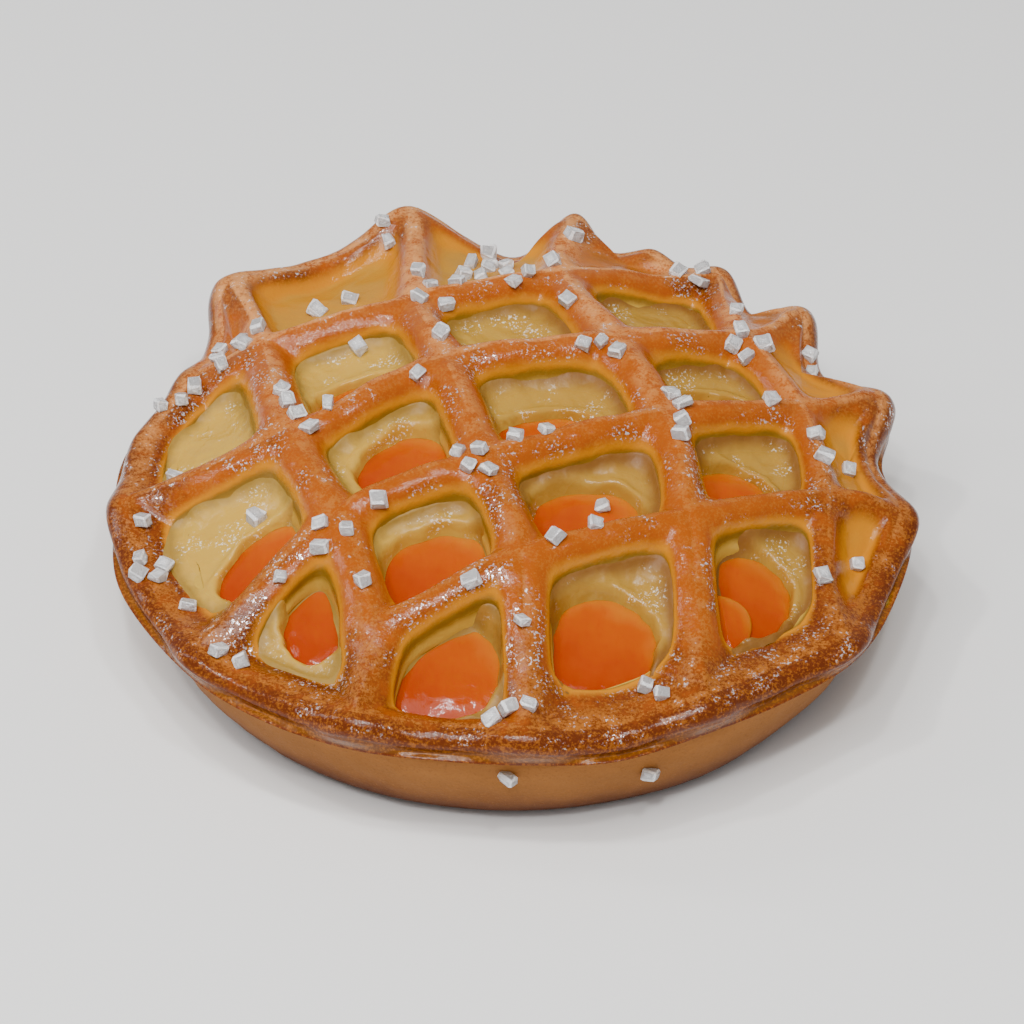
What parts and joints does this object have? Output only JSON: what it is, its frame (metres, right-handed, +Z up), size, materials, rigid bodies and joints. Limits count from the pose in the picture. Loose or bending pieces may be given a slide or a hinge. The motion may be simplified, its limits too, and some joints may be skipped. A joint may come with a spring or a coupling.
{
  "type": "apricot tart",
  "caption": "Round single-serve pastry tart with custard and apricot halves under a glazed dough lattice, sprinkled with coarse sugar.",
  "frame": {"origin": "on the table under the middle of the tart's outline", "axes": "+Z up; -Y is the side shown at the front"},
  "size_m": [0.1296, 0.129, 0.0406],
  "materials": {
    "dough": "matte",
    "crust": "gloss",
    "custard": "satin",
    "apricot": "gloss"
  },
  "bodies": {
    "root": {"base_crust": "dough", "custard": "custard", "lattice": "crust", "apricot_01": "apricot", "apricot_02": "apricot", "apricot_03": "apricot", "apricot_04": "apricot", "apricot_05": "apricot", "apricot_06": "apricot", "apricot_07": "apricot", "apricot_08": "apricot", "apricot_09": "apricot", "apricot_10": "apricot", "apricot_11": "apricot", "apricot_12": "apricot", "apricot_13": "apricot"}
  },
  "joints": []
}
